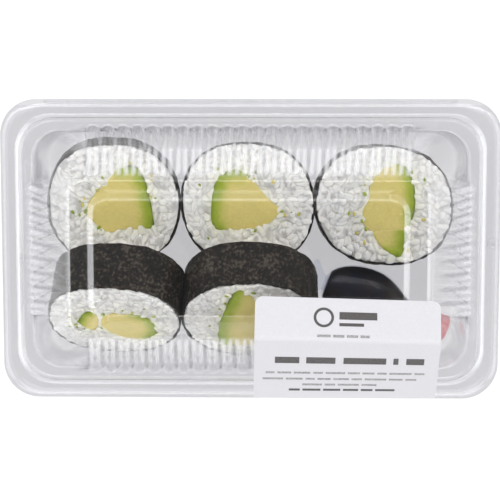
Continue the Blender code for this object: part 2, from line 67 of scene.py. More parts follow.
TRAY_FOOT_HEIGHT = 1.6 * MM
TRAY_FILLET = 0.5 * MM
TRAY_WALL_START = 0.6 * MM
PANEL_RISE = 0.8 * MM
PANEL_SLOPE = 1.2 * MM
LID_MOUTH = (76.4 * MM, 41.6 * MM, 9.5 * MM)
LID_RIM = (60.8 * MM, 26.7 * MM, 6.5 * MM)
LID_PANEL = (52.5 * MM, 20.2 * MM, 5.5 * MM)
LID_TOP = 50.5 * MM
LID_PANEL_DROP = 1.5 * MM
LID_PANEL_LIP = 1.5 * MM
LID_PANEL_SLOPE = 2.0 * MM
LID_BAND_OUTER = 0.62 * MM
LID_BAND_WIDTH = 1.5 * MM
LID_BAND_DROP = 0.97 * MM
LID_FLUTE_DEPTH = 2.1 * MM
LID_FLUTE_UPPER_DEPTH = 1.5 * MM
LID_FLUTE_UPPER = 0.72
LID_FLUTE_END = 0.93
LID_FILLET = 0.6 * MM
LID_WALL_START = 0.03
LID_BACK_EDGE = 50.7 * MM
HINGE_RADIUS = 0.9 * MM
HINGE_HALF_LENGTH = 72.0 * MM
HINGE_PLACE = (51.9 * MM, 24.65 * MM)
BUTTONS = [(84.95 * MM, 2.4 * MM, 0.0, 2.1 * MM), (-80.4 * MM, -3.0 * MM, BEAD_HEIGHT, 1.4 * MM)]

FLUTE_STEPS = 12
STREAK_PLACE = 0.52
STREAK_SPREAD = 0.46
EDGE_STREAK = 0.2
CORNER_STEPS = 14
BEAD_STEPS = 12
FILLET_STEPS = 4
TRAY_WALL_STEPS = 14
TRAY_FOOT_STEPS = 5
PANEL_STEPS = 6
LID_WALL_STEPS = 20
BUTTON_STEPS = 9

# Painted highlights: white laid into the clear plastic where the lamps reflect, as streaks on the beads,
# rim band, flutes and tray foot
BEAD_PAINTED_HIGHLIGHT = 0.55
BAND_PAINTED_HIGHLIGHT = 0.13
WALL_PAINTED_HIGHLIGHT = 0.05
FLUTE_PAINTED_HIGHLIGHT = 0.33
END_FLUTE_PAINTED_HIGHLIGHT = 0.4
TRAY_FOOT_PAINTED_HIGHLIGHT = 0.3
END_STREAK_REACH = 0.6
FRONT_STREAK_START = 0.18
BACK_STREAK_START = 0.36
STREAK_RISE = 0.14
EDGE_STREAK_RISE = 0.2
LEAST_STREAK = 0.2
# Colour of the white layer that makes the faint even haze and the painted highlights
HAZE_AND_PAINTED_HIGHLIGHT_COLOUR = (0.9, 0.9, 0.92)
SHEET_ROUGHNESS = 0.09

# The rolls
ROLL_LENGTH = 18.3 * MM
ROLL_SQUARENESS = 2.2
NORI = 0.5 * MM
STANDING = SHEET + PANEL_RISE + GAP
NORI_AROUND = 168
NORI_ALONG = 16
NORI_SHEET = 0.42 * MM
NORI_RAGGED = 0.75 * MM
NORI_RAGGED_FINE = 0.5 * MM
NORI_WAVE = 0.44 * MM
NORI_WAVE_FINE = 0.2 * MM
GRAIN_LENGTH = 5.6 * MM
GRAIN_WIDTH = 2.7 * MM
GRAIN_HEIGHT = 2.3 * MM
GRAIN_AROUND = 8
GRAIN_ALONG = 7
GRAIN_SPACING = 1.7 * MM
GRAIN_SIZES = (0.84, 1.12)
GRAIN_SUNK = (0.18, 0.4)
UPRIGHT_SHARE = 0.14
SCATTER_TRIES = 6000
CUT_STANDS = 0.15 * MM
STAIN_REACH = 3.2 * MM
PRESSED_SPREAD = 0.4
CORE_DEPTH = 0.2 * MM
CORE_INSET = 0.6 * MM
CORE_BUMP = 0.5 * MM
STRIP_STANDS = 0.3 * MM
STRIP_STEPS = 8
STRIP_EDGE = 0.86
STRIP_ROUNDING = 0.35 * MM
STRIP_ROUGHNESS = 0.28 * MM
# How far the dark skin edge, which is also painted shade of the gap beside the strip, reaches into a strip
SKIN_AND_GAP_SHADE_REACH = 1.2 * MM
CRUMBS_A_ROLL = 16
CRUMB_REACH = 1.8 * MM
CRUMB_SIZES = (0.12, 0.34)

# The soy sauce bottle
BOTTLE_MIDDLE = (41.9 * MM, -19.6 * MM)
BOTTLE_TURN = math.radians(-20.8)
BOTTLE_STEPS = 25
BOTTLE_WALL = 0.8 * MM
BOTTLE_BELLY = 11.2 * MM
BOTTLE_HALF_THICKNESS = 6.4 * MM
BOTTLE_SHOULDER = 17.5 * MM
BOTTLE_TAIL_END = -16.6 * MM
SOY_START = -15.4 * MM
SOY_END = 15.0 * MM
TAIL_ROOT = 1.7 * MM
TAIL_THICKNESS = 1.4 * MM
NECK_RADIUS = 3.3 * MM
NECK_END = 26.0 * MM
CAP_RADIUS = 4.7 * MM
CAP_START = 21.4 * MM
CAP_END = 31.2 * MM
CAP_RIBS = 30
CAP_RIB_DEPTH = 0.3 * MM

# The label
LABEL_WIDTH = 62.0 * MM
LABEL_LEFT = 2.4 * MM
LABEL_BACK = -12.6 * MM
LABEL_THICKNESS = 0.35 * MM
LABEL_CORNER = 2.6 * MM
LABEL_CORNER_STEPS = 8
LABEL_ROWS = 60
LABEL_BEND_RADIUS = 4.0 * MM
LABEL_BEND_STEPS = 12
LABEL_CREASE_OUT = 0.45 * MM
LABEL_SLANT = 0.027
LABEL_FRONT = -52.4 * MM
LABEL_SPREAD = 0.038
INK_LIFTS = (LABEL_THICKNESS * 0.9, LABEL_THICKNESS + 0.03 * MM)


# Materials


def blank_material(name):
    made = bpy.data.materials.new(name)
    made.use_nodes = True
    made.node_tree.nodes.clear()
    return made


def put(made, place, value):
    """Gives an input socket a value, or links another node's output to it."""
    if isinstance(value, bpy.types.NodeSocket):
        made.node_tree.links.new(value, place)
    elif place.type == "RGBA":
        place.default_value = (*value, 1.0)
    else:
        place.default_value = value


def add_node(made, kind, **values):
    """A shader node whose input sockets take the values given."""
    node = made.node_tree.nodes.new("ShaderNode" + kind)
    for socket, value in values.items():
        put(made, node.inputs[socket.replace("_", " ")], value)
    return node


def principled(name, **values):
    """A material with one Principled shader, whose sockets take the values given."""
    made = blank_material(name)
    shader = add_node(made, "BsdfPrincipled", **values)
    add_node(made, "OutputMaterial", Surface=shader.outputs["BSDF"])
    return made, shader


def add_noise(made, scale, detail=4.0, stretch=(1, 1, 1)):
    """Noise on the object's own coordinates. Scale is in waves per metre."""
    where = add_node(made, "TexCoord").outputs["Object"]
    placed = add_node(made, "Mapping", Vector=where, Scale=stretch).outputs["Vector"]
    return add_node(made, "TexNoise", Vector=placed, Scale=scale, Detail=detail).outputs["Fac"]


def add_ramp(made, source, stops):
    """A colour ramp on a value. Stops are (place, colour) pairs."""
    ramp = add_node(made, "ValToRGB", Fac=source)
    while len(ramp.color_ramp.elements) < len(stops):
        ramp.color_ramp.elements.new(0.5)
    for element, (place, colour) in zip(ramp.color_ramp.elements, stops):
        element.position = place
        element.color = (*colour, 1.0)
    return ramp.outputs["Color"]


def add_bump(made, shader, height, strength, distance):
    bump = add_node(made, "Bump", Height=height, Strength=strength, Distance=distance)
    put(made, shader.inputs["Normal"], bump.outputs["Normal"])


def mix_colours(made, share, first, second, blend="MIX"):
    mix = add_node(made, "Mix")
    mix.data_type = "RGBA"
    mix.blend_type = blend
    for place, value in zip([s for s in mix.inputs if s.enabled], (share, first, second)):
        put(made, place, value)
    return next(s for s in mix.outputs if s.enabled)


def mix_shaders(made, share, first, second):
    mix = add_node(made, "MixShader")
    for place, value in zip(mix.inputs, (share, first, second)):
        put(made, place, value)
    return mix.outputs["Shader"]


def math_node(made, operation, *values):
    node = add_node(made, "Math")
    node.operation = operation
    for place, value in zip(node.inputs, values):
        put(made, place, value)
    return node.outputs["Value"]


def mesh_value(made, name):
    """The value that the mesh's points carry under a name."""
    found = add_node(made, "Attribute")
    found.attribute_name = name
    return found.outputs["Fac"]


def speckled(name, scale, detail, stops, **values):
    """A Principled material whose colour runs through the stops by one noise, which comes back too."""
    made, shader = principled(name, **values)
    speckle = add_noise(made, scale, detail)
    put(made, shader.inputs["Base Color"], add_ramp(made, speckle, stops))
    return made, shader, speckle


def clear_material(name, tint, least_gloss, edge_gloss, milk):
    """A clear sheet: see-through face on, glossy seen edge on, with a faint even haze, and white where the
    mesh carries painted highlights.
    """
    made = blank_material(name)
    facing = add_node(made, "LayerWeight", Blend=0.5).outputs["Facing"]
    rise = math_node(made, "POWER", facing, 4.0)
    gloss_share = math_node(made, "MULTIPLY_ADD", rise, edge_gloss, least_gloss)
    # Share of white diffuse: the painted highlights plus a faint even haze
    haze_and_painted_highlight_share = math_node(made, "ADD", mesh_value(made, "painted_highlight"), milk)
    through = add_node(made, "BsdfTransparent", Color=tint).outputs["BSDF"]
    haze_and_painted_highlight = add_node(made, "BsdfDiffuse", Color=HAZE_AND_PAINTED_HIGHLIGHT_COLOUR).outputs["BSDF"]
    shine = add_node(made, "BsdfGlossy", Roughness=SHEET_ROUGHNESS).outputs["BSDF"]
    body = mix_shaders(made, haze_and_painted_highlight_share, through, haze_and_painted_highlight)
    add_node(made, "OutputMaterial", Surface=mix_shaders(made, gloss_share, body, shine))
    return made


def nori_material():
    """Dried seaweed: near black, with pale brownish specks and a fibrous, slightly shiny surface."""
    made, shader = principled("nori", Roughness=0.55, Specular_IOR_Level=0.2)
    specks = add_noise(made, 900.0, 6.0, (1.0, 1.0, 0.6))
    patches = add_noise(made, 150.0, 3.0)
    broad = math_node(made, "MULTIPLY_ADD", patches, 0.5, -0.25)
    shade = math_node(made, "ADD", specks, broad)
    stops = [(0.36, (0.005, 0.004, 0.003)), (0.52, (0.014, 0.011, 0.008)), (0.68, (0.075, 0.060, 0.047))]
    put(made, shader.inputs["Base Color"], add_ramp(made, shade, stops))
    wrinkles = add_noise(made, 420.0, 5.0, (1.0, 1.0, 0.5))
    add_bump(made, shader, wrinkles, 0.7, 0.6 * MM)
    return made


def rice_material():
    """Sticky rice: bright and soft, a little green beside the fillings, as the mesh's stain says."""
    made, shader = principled(
        "rice",
        Roughness=0.45,
        Subsurface_Weight=0.5,
        Subsurface_Radius=(1.0, 0.92, 0.78),
        Subsurface_Scale=0.8 * MM,
    )
    shade = add_noise(made, 150.0, 2.0)
    white = add_ramp(made, shade, [(0.3, (0.86, 0.84, 0.79)), (0.58, (0.985, 0.95, 0.88))])
    share = math_node(made, "MULTIPLY", mesh_value(made, "stain"), 0.6)
    colour = mix_colours(made, share, white, (0.84, 0.82, 0.57))
    put(made, shader.inputs["Base Color"], colour)
    add_bump(made, shader, add_noise(made, 900.0, 3.0), 0.12, 0.2 * MM)
    return made


def avocado_material():
    """Yellow flesh that turns green towards the skin, as the mesh's green value says, and near black along
    the skin edge, as its skin value says: dark skin, and painted shade of the gap beside the strip.
    """
    made, shader = principled(
        "avocado",
        Roughness=0.5,
        Specular_IOR_Level=0.3,
        Subsurface_Weight=0.15,
        Subsurface_Radius=(1.0, 0.9, 0.3),
        Subsurface_Scale=1.0 * MM,
    )
    blotch = add_noise(made, 320.0, 4.0)
    shift = math_node(made, "MULTIPLY_ADD", blotch, 0.34, -0.17)
    shifted = math_node(made, "ADD", mesh_value(made, "green"), shift)
    yellow, olive = (0.71, 0.60, 0.20), (0.60, 0.55, 0.145)
    green, deep_green = (0.36, 0.425, 0.043), (0.25, 0.345, 0.014)
    flesh = add_ramp(made, shifted, [(0.06, yellow), (0.34, olive), (0.62, green), (0.88, deep_green)])
    fine = add_noise(made, 1500.0, 4.0)
    darker = add_ramp(made, fine, [(0.3, (0.9, 0.9, 0.88)), (0.7, (1.05, 1.05, 1.05))])
    mottled = mix_colours(made, 1.0, flesh, darker, "MULTIPLY")
    # Near black along the skin edge: dark skin, and painted shade of the gap between strip and rice
    colour = mix_colours(made, mesh_value(made, "skin"), mottled, (0.035, 0.05, 0.012))
    put(made, shader.inputs["Base Color"], colour)
    add_bump(made, shader, blotch, 0.35, 0.5 * MM)
    return made


def soy_material():
    stops = [(0.35, (0.012, 0.015, 0.028)), (0.65, (0.026, 0.019, 0.015))]
    return speckled("soy_sauce", 90.0, 2.0, stops, Roughness=0.3, Specular_IOR_Level=0.12)[0]


def cap_material():
    stops = [(0.3, (0.62, 0.035, 0.055)), (0.7, (0.72, 0.05, 0.07))]
    made, shader, shade = speckled("cap_red", 260.0, 3.0, stops, Roughness=0.32)
    add_bump(made, shader, shade, 0.1, 0.1 * MM)
    return made


def paper_material():
    stops = [(0.3, (0.575, 0.567, 0.593)), (0.7, (0.605, 0.597, 0.623))]
    made, shader, fibre = speckled("label_paper", 1400.0, 5.0, stops, Roughness=0.45)
    add_bump(made, shader, fibre, 0.12, 0.1 * MM)
    return made


def print_material(name, dark, light):
    return speckled(name, 2600.0, 4.0, [(0.4, dark), (0.62, light)], Roughness=0.6)[0]


def floor_material():
    """Grey with a glow of its own, so that it renders nearly white."""
    stops = [(0.3, (0.195, 0.195, 0.2)), (0.7, (0.215, 0.215, 0.22))]
    glow = {"Emission_Color": (1.0, 1.0, 1.0), "Emission_Strength": 0.85}
    return speckled("pale_floor", 6.0, 2.0, stops, Roughness=0.8, **glow)[0]


# Meshes


def add_piece(name, verts, faces, finish, smooth=True):
    mesh = bpy.data.meshes.new(name)
    mesh.from_pydata([tuple(v) for v in verts], [], faces)
    mesh.update()
    if smooth:
        mesh.shade_smooth()
    mesh.materials.append(finish)
    obj = bpy.data.objects.new(name, mesh)
    bpy.context.scene.collection.objects.link(obj)
    return obj


def turns(count):
    """Evenly spread angles all the way round."""
    return [2 * math.pi * i / count for i in range(count)]


def loft(rows, first_cap=False, last_cap=False, looped=False):
    """Quads between closed rows of equal length, as (verts, faces). Looped rows join last to first."""
    verts = [v for row in rows for v in row]
    count = len(rows[0])
    faces = []
    for r in range(len(rows) if looped else len(rows) - 1):
        low, high = r * count, (r + 1) % len(rows) * count
        for i in range(count):
            k = (i + 1) % count
            faces.append((low + i, low + k, high + k, high + i))
    if first_cap:
        faces.append(tuple(range(count - 1, -1, -1)))
    if last_cap:
        faces.append(tuple(range(len(verts) - count, len(verts))))
    return verts, faces


def set_values(obj, name, values):
    """Gives each point of a mesh a value that its material reads."""
    obj.data.attributes.new(name, "FLOAT", "POINT").data.foreach_set("value", values)


def wall(obj, thickness):
    """Gives an open sheet its thickness, under its surface."""
    modifier = obj.modifiers.new("wall", "SOLIDIFY")
    modifier.thickness = thickness
    modifier.offset = -1.0


def grown(size, amount):
    return tuple(p + amount for p in size)


def between(a, b, share):
    return tuple(p + (q - p) * share for p, q in zip(a, b))


def inset(amount, corner):
    return (PACK_HALF_LENGTH - amount, PACK_HALF_WIDTH - amount, corner)


# The tray and the lid


def painted_streak(across, edge, inner):
    """The painted highlight at a place across a flute: a narrow streak on each edge and two broad ones
    within.
    """
    edge *= max(0.0, 1 - ((1 - across) / EDGE_STREAK) ** 2)
    inner *= max(0.0, 1 - ((across - STREAK_PLACE) / STREAK_SPREAD) ** 2)
    return max(edge, inner)


def no_streaks(side, risen):
    return 0.0, 0.0


# Painted highlight streaks on the tray's rounded foot
def foot_streaks(side, risen):
    return 0.0, TRAY_FOOT_PAINTED_HIGHLIGHT


def lid_streaks(side, risen):
    """How much painted highlight a lid flute carries on its edges and within. Sides count from the right,
    anticlockwise.
    """
    if risen >= LID_FLUTE_END:
        return 0.0, 0.0
    if side in (0, 2):
        return 0.0, END_FLUTE_PAINTED_HIGHLIGHT * max(0.0, 1 - risen / END_STREAK_REACH)
    start = FRONT_STREAK_START if side == 3 else BACK_STREAK_START
    within = min(1.0, max(LEAST_STREAK, (risen - start) / STREAK_RISE))
    return FLUTE_PAINTED_HIGHLIGHT * min(1.0, risen / EDGE_STREAK_RISE) * (1 - within), FLUTE_PAINTED_HIGHLIGHT * within


def ring(size, z, depth=0.0, ends=0.0, streaks=no_streaks):
    """A rounded rectangle, anticlockwise from the right side, whose straight sides bulge in flutes.

    Each point is x, y, z and its painted highlight: a share on the short ends, and the streaks down each
    flute."""
    half_x, half_y, corner = size
    risen = max(0.0, z - LID_FLANGE_TOP) / (LID_TOP - LID_FLANGE_TOP)
    points = []

    def add(spot, painted_highlight):
        points.append(Vector((spot.x, spot.y, z, painted_highlight)))

    for quarter in range(4):
        along_x = quarter % 2 == 1
        half, straight = (half_y, half_x - corner) if along_x else (half_x, half_y - corner)
        count = FLUTES_LONG if along_x else FLUTES_SHORT
        band = count * FLUTE_PITCH / 2
        rim_straight = LID_RIM[0 if along_x else 1] - LID_RIM[2]
        squeeze = min(straight / band, 1 - risen * (1 - rim_straight / band))
        turn = Matrix.Rotation(quarter * math.pi / 2, 2)
        side = 0.0 if along_x else ends
        add(turn @ Vector((half, -straight)), side)
        for i in range(count * FLUTE_STEPS + 1):
            flute, step = divmod(i, FLUTE_STEPS)
            angle = math.pi * step / FLUTE_STEPS
            along = -band + FLUTE_PITCH * (flute + (1 - math.cos(angle)) / 2)
            painted_highlight = side + painted_streak(abs(math.cos(angle)), *streaks(quarter, risen))
            add(turn @ Vector((half + depth * math.sin(angle), along * min(1.0, squeeze))), painted_highlight)
        for i in range(CORNER_STEPS):
            angle = math.pi / 2 * i / CORNER_STEPS
            arc = Vector((math.cos(angle), math.sin(angle))) * corner
            facing_end = math.cos(angle + (math.pi / 2 if along_x else 0)) ** 4
            add(turn @ (Vector((half - corner, straight)) + arc), ends * facing_end)
    return points


def bead_rings(z, half_width, painted_highlight):
    """The flange from its outer edge to the inner foot of its round raised bead."""
    rings = [ring(inset(0, FLANGE_CORNER), z), ring(inset(BEAD_INSET - 2.5 * half_width, BEAD_CORNER), z)]
    for i in range(BEAD_STEPS + 1):
        across = 2 * i / BEAD_STEPS - 1
        lift = BEAD_HEIGHT * (1 + math.cos(math.pi * across)) / 2
        corner = BEAD_CORNER - max(0.0, across) * half_width
        # The bead's slopes carry a painted highlight on the short ends
        share = painted_highlight * max(0.0, 1 - across * across)
        rings.append(ring(inset(BEAD_INSET + across * half_width, corner), z + lift, ends=share))
    return rings


def shell(name, rings, finish, body, node):
    """A sheet through the rings. The last ring is closed, and the wall lies under the surface."""
    verts, faces = loft(rings, last_cap=True)
    obj = add_piece(name, [v.xyz for v in verts], faces, finish)
    # The painted highlights go onto the mesh's points for its material
    set_values(obj, "painted_highlight", [v.w for v in verts])
    if obj.data.polygons[-1].normal.z < 0:
        obj.data.flip_normals()
    wall(obj, SHEET)
    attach(obj, body)
    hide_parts(node)
    return obj


def fillet(size, z, depth, radius, up):
    """A round foot where a fluted wall meets the flange."""
    rings = [ring(grown(size, radius * 1.4), z, depth)]
    for i in range(FILLET_STEPS):
        angle = math.pi / 2 * i / FILLET_STEPS
        out = radius * (1 - math.sin(angle))
        lift = radius * (1 - math.cos(angle))
        rings.append(ring(grown(size, out), z + lift * up, depth))
    return rings


def build_tray(finish):
    rings = bead_rings(FLANGE_TOP, TRAY_BEAD_HALF, 0.0)
    rings += fillet(TRAY_MOUTH, FLANGE_TOP, TRAY_FLUTE_DEPTH, TRAY_FILLET, -1)
    wall_top = FLANGE_TOP - TRAY_WALL_START
    for i in range(1, TRAY_WALL_STEPS + 1):
        fallen = i / TRAY_WALL_STEPS
        z = wall_top + (TRAY_FOOT_HEIGHT - wall_top) * fallen
        depth = TRAY_FLUTE_DEPTH + (TRAY_FLUTE_FOOT_DEPTH - TRAY_FLUTE_DEPTH) * fallen
        rings.append(ring(between(TRAY_MOUTH, TRAY_FOOT, fallen), z, depth))
    for i in range(1, TRAY_FOOT_STEPS + 1):
        angle = math.pi / 2 * i / TRAY_FOOT_STEPS
        size = between(TRAY_FLOOR_EDGE, TRAY_FOOT, math.cos(angle))
        z = SHEET + (TRAY_FOOT_HEIGHT - SHEET) * (1 - math.sin(angle))
        rings.append(ring(size, z, TRAY_FLUTE_FOOT_DEPTH * math.cos(angle), streaks=foot_streaks))
    rings.append(ring(grown(TRAY_PANEL, 0.6 * MM), SHEET))
    for i in range(PANEL_STEPS + 1):
        share = i / PANEL_STEPS
        lift = PANEL_RISE * (1 - math.cos(math.pi * share)) / 2
        rings.append(ring(grown(TRAY_PANEL, -PANEL_SLOPE * share), SHEET + lift))
    rings.append(ring(grown(TRAY_PANEL, -3.0 * MM), SHEET + PANEL_RISE))
    shell("tray_shell", rings, finish, "tray", "tray")


def lid_flute_depth(risen):
    """The flutes grow shallower up the wall and end in round tops."""
    if risen <= LID_FLUTE_UPPER:
        share = risen / LID_FLUTE_UPPER
        return LID_FLUTE_DEPTH + (LID_FLUTE_UPPER_DEPTH - LID_FLUTE_DEPTH) * share
    past = min(1.0, (risen - LID_FLUTE_UPPER) / (LID_FLUTE_END - LID_FLUTE_UPPER))
    return LID_FLUTE_UPPER_DEPTH * math.sqrt(1 - past * past)


def cut_behind(mesh, y):
    """Takes away what lies further back than y."""
    bm = bmesh.new()
    bm.from_mesh(mesh)
    everything = bm.verts[:] + bm.edges[:] + bm.faces[:]
    bmesh.ops.bisect_plane(bm, geom=everything, plane_co=(0, y, 0), plane_no=(0, 1, 0), clear_outer=True)
    bm.to_mesh(mesh)
    bm.free()


def build_lid(finish):
    foot = LID_FLANGE_TOP
    rings = bead_rings(foot, LID_BEAD_HALF, BEAD_PAINTED_HIGHLIGHT)
    rings += fillet(LID_MOUTH, foot, LID_FLUTE_DEPTH, LID_FILLET, 1)
    risen_last = 1 - LID_BAND_OUTER / (LID_MOUTH[0] - LID_RIM[0]) - 0.01
    for i in range(1, LID_WALL_STEPS + 1):
        risen = LID_WALL_START + (risen_last - LID_WALL_START) * i / LID_WALL_STEPS
        size = between(LID_MOUTH, LID_RIM, risen)
        z = foot + (LID_TOP - foot) * risen
        # The wall carries painted highlight on its short ends and painted streaks down its flutes
        rings.append(ring(size, z, lid_flute_depth(risen), WALL_PAINTED_HIGHLIGHT, lid_streaks))
    for share in (0.06, 0.94, 1.06):
        out = LID_BAND_OUTER - LID_BAND_WIDTH * share
        drop = LID_BAND_DROP * max(0.0, 1 - share)
        # Painted highlight on the rim band's short ends
        painted_highlight = BAND_PAINTED_HIGHLIGHT if share < 1 else 0.0
        rings.append(ring(grown(LID_RIM, out), LID_TOP - drop, ends=painted_highlight))
    rings.append(ring(grown(LID_PANEL, LID_PANEL_LIP + 0.2 * MM), LID_TOP))
    for share in (0.0, 0.08, 0.92, 1.0):
        # Painted highlight on the panel step's short ends
        painted_highlight = BAND_PAINTED_HIGHLIGHT if 0 < share < 1 else 0.0
        size = grown(LID_PANEL, LID_PANEL_LIP - LID_PANEL_SLOPE * share)
        rings.append(ring(size, LID_TOP - LID_PANEL_DROP * share, ends=painted_highlight))
    rings.append(ring(grown(LID_PANEL, -3.4 * MM), LID_TOP - LID_PANEL_DROP))
    lid = shell("lid_shell", rings, finish, "lid", "lid")
    cut_behind(lid.data, LID_BACK_EDGE)


def dome(name, x, y, lift, radius, finish):
    """A low snap button on the lid's flange."""
    base = LID_FLANGE_TOP + lift - SHEET / 2
    rows = []
    for i in range(BUTTON_STEPS):
        angle = math.pi / 2 * i / (BUTTON_STEPS - 0.5)
        reach = radius * math.cos(angle)
        height = base + radius * 0.5 * math.sin(angle)
        rows.append([Vector((x + reach * math.cos(a), y + reach * math.sin(a), height)) for a in turns(32)])
    obj = add_piece(name, *loft(rows, True, True), finish)
    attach(obj, "lid")


def build_hinge(finish):
    """The round bead that the lid turns about, along the tray's back edge."""
    reach = HINGE_HALF_LENGTH
    ends = [(-reach, 0.5), (-reach + 0.2 * MM, 0.85), (-reach + 0.6 * MM, 1.0)]
    rows = []
    for x, share in ends + [(-x, share) for x, share in reversed(ends)]:
        radius = HINGE_RADIUS * share
        middle = Vector((x, *HINGE_PLACE))
        rows.append([middle + Vector((0, math.cos(a), math.sin(a))) * radius for a in turns(20)])
    obj = add_piece("hinge_bead", *loft(rows, True, True), finish)
    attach(obj, "tray")


# The rolls


def roll_radius(roll, angle):
    """The outer radius of a roll at an angle round its own axis: a soft oval with a lobe or two."""
    x = abs(math.cos(angle)) / roll["half_width"]
    y = abs(math.sin(angle)) / roll["half_height"]
    oval = (x**ROLL_SQUARENESS + y**ROLL_SQUARENESS) ** (-1 / ROLL_SQUARENESS)
    lobes = roll["lobe"] * math.sin(2 * angle) + roll["wave"] * (1 - math.cos(4 * angle)) / 2
    for side, amount in roll["pressed"]:
        away = math.remainder(angle - side, 2 * math.pi)
        lobes += amount * math.exp(-((away / PRESSED_SPREAD) ** 2))
    return oval + lobes


def leaned(roll, x, y, z):
    share = z / ROLL_LENGTH + 0.5
    return Vector((x + roll["lean"][0] * share, y + roll["lean"][1] * share, z))


def upright_spot(roll, vert):
    """Where a place on a leaned roll would be, across the roll, if the roll stood straight."""
    return Vector((vert.x, vert.y)) - Vector(roll["lean"]) * (vert.z / ROLL_LENGTH + 0.5)


def roll_noise(roll, x, y, z, scale):
    seed = roll["seed"] * 7.3
    return noise.noise(Vector((x / scale + seed, y / scale - seed, z / scale + seed)))


def set_roll_piece(obj, roll, *nodes):
    """Moves a piece that was made round the roll's own axis to the roll's place."""
    turn = Euler((roll["tilt"], 0.0, roll["turn"])).to_matrix().to_4x4()
    obj.data.transform(Matrix.Translation(roll["middle"]) @ turn)
    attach(obj, "tray")
    if nodes:
        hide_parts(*nodes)


def build_nori(roll, finish):
    """The seaweed sheet, a little wavy, with ragged cut edges."""
    rows = []
    for k in range(NORI_ALONG + 1):
        share = k / NORI_ALONG
        row = []
        for angle in turns(NORI_AROUND):
            radius = roll_radius(roll, angle)
            x, y = radius * math.cos(angle), radius * math.sin(angle)
            ragged = NORI_RAGGED * roll_noise(roll, x, y, 0.0, 2.6 * MM)
            ragged += NORI_RAGGED_FINE * roll_noise(roll, x, y, 3.0, 0.9 * MM)
            end = ragged * (2 * share - 1) ** 8 * (1 if share > 0.5 else 0.2)
            z = (share - 0.5) * ROLL_LENGTH + end - 0.1 * MM * share
            wave = NORI_WAVE * roll_noise(roll, x, y, z * 0.6, 4.2 * MM)
            wave += NORI_WAVE_FINE * roll_noise(roll, x, y, z, 1.5 * MM)
            pull = 1 + (wave - 0.12 * MM) / radius
            row.append(leaned(roll, x * pull, y * pull, z))
        rows.append(row)
    obj = add_piece(f"nori_sheet_{roll['name']}", *loft(rows), finish)
    wall(obj, NORI_SHEET)
    set_roll_piece(obj, roll, f"nori_{roll['name']}")


def smooth_outline(points, steps=STRIP_STEPS):
    """A closed Catmull-Rom curve through points in millimetres."""
    corners = [Vector(p) * MM for p in points]
    count = len(corners)
    curve = []
    for i in range(count):
        a, b, c, d = (corners[(i + k) % count] for k in (-1, 0, 1, 2))
        for step in range(steps):
            t = step / steps
            straight = 2 * b + (c - a) * t
            curve.append(
                0.5 * (straight + (2 * a - 5 * b + 4 * c - d) * t * t + (3 * b - a - 3 * c + d) * t**3)
            )
    return curve


def inside(outline, spot):
    """Whether a spot lies inside a closed outline."""
    found = False
    for a, b in zip(outline, outline[1:] + outline[:1]):
        if (a.y > spot.y) != (b.y > spot.y):
            found ^= spot.x < a.x + (spot.y - a.y) / (b.y - a.y) * (b.x - a.x)
    return found


def line_distance(points, spot):
    """How far a spot is from a line through points."""
    nearest = math.inf
    for a, b in zip(points, points[1:]):
        along = b - a
        share = max(0.0, min(1.0, (spot - a).dot(along) / along.length_squared))
        nearest = min(nearest, (spot - a - along * share).length)
    return nearest


def grain_shape():
    """One grain: a slim round-ended body along X, a little bent, as (verts, faces)."""
    rows = []
    for i in range(1, GRAIN_ALONG):
        angle = math.pi * i / GRAIN_ALONG
        x = -math.cos(angle) * GRAIN_LENGTH / 2
        girth = math.sin(angle) ** 0.8
        row = []
        for turn in turns(GRAIN_AROUND):
            y = girth * math.cos(turn) * GRAIN_WIDTH / 2
            row.append(Vector((x, y, girth * math.sin(turn) * GRAIN_HEIGHT / 2)))
        rows.append(row)
    verts, faces = loft(rows)
    verts += [Vector((-GRAIN_LENGTH / 2, 0, 0)), Vector((GRAIN_LENGTH / 2, 0, 0))]
    last = len(verts) - 2 - GRAIN_AROUND
    for k in range(GRAIN_AROUND):
        after = (k + 1) % GRAIN_AROUND
        faces.append((len(verts) - 2, after, k))
        faces.append((last + k, last + after, len(verts) - 1))
    bent = [Vector((v.x, v.y + 14.0 * v.x * v.x, v.z)) for v in verts]
    return bent, faces


GRAIN_VERTS, GRAIN_FACES = grain_shape()


def scatter(rng, roll, strips, spacing, edge, clear):
    """Spots inside the roll's outline, clear of the fillings and of one another."""
    spots = []
    reach = max(roll["half_width"], roll["half_height"])
    for _ in range(SCATTER_TRIES):
        spot = Vector((rng.uniform(-reach, reach), rng.uniform(-reach, reach)))
        if spot.length > roll_radius(roll, math.atan2(spot.y, spot.x)) - edge:
            continue
        if any((spot - other).length < spacing for other in spots):
            continue
        if any(inside(strip, spot) or line_distance(strip, spot) < clear for strip in strips):
            continue
        spots.append(spot)
    return spots


def add_grains(verts, faces, rng, roll, spots, face_side, depth):
    """Lays a grain on each spot, cut off level with the roll's cut face."""
    level = ROLL_LENGTH / 2 + CUT_STANDS
    for spot in spots:
        size = rng.uniform(*GRAIN_SIZES)
        upright = rng.random() < UPRIGHT_SHARE
        pitch = rng.uniform(0.9, 1.4) if upright else rng.gauss(0, 0.22)
        turn = Euler((rng.uniform(-0.5, 0.5), pitch, rng.uniform(0, 2 * math.pi))).to_matrix()
        middle = level - GRAIN_HEIGHT * rng.uniform(*GRAIN_SUNK) - depth
        start = len(verts)
        for v in GRAIN_VERTS:
            p = turn @ (v * size)
            z = middle + p.z
            if z > level:
                z = level + (z - level) * 0.08
            x, y = spot.x + p.x, spot.y + p.y
            room = roll_radius(roll, math.atan2(y, x)) - NORI - 0.25 * MM
            pull = min(1.0, room / max(math.hypot(x, y), MM))
            verts.append(leaned(roll, x * pull, y * pull, z * face_side))
        order = 1 if face_side > 0 else -1
        faces.extend(tuple(start + i for i in face[::order]) for face in GRAIN_FACES)


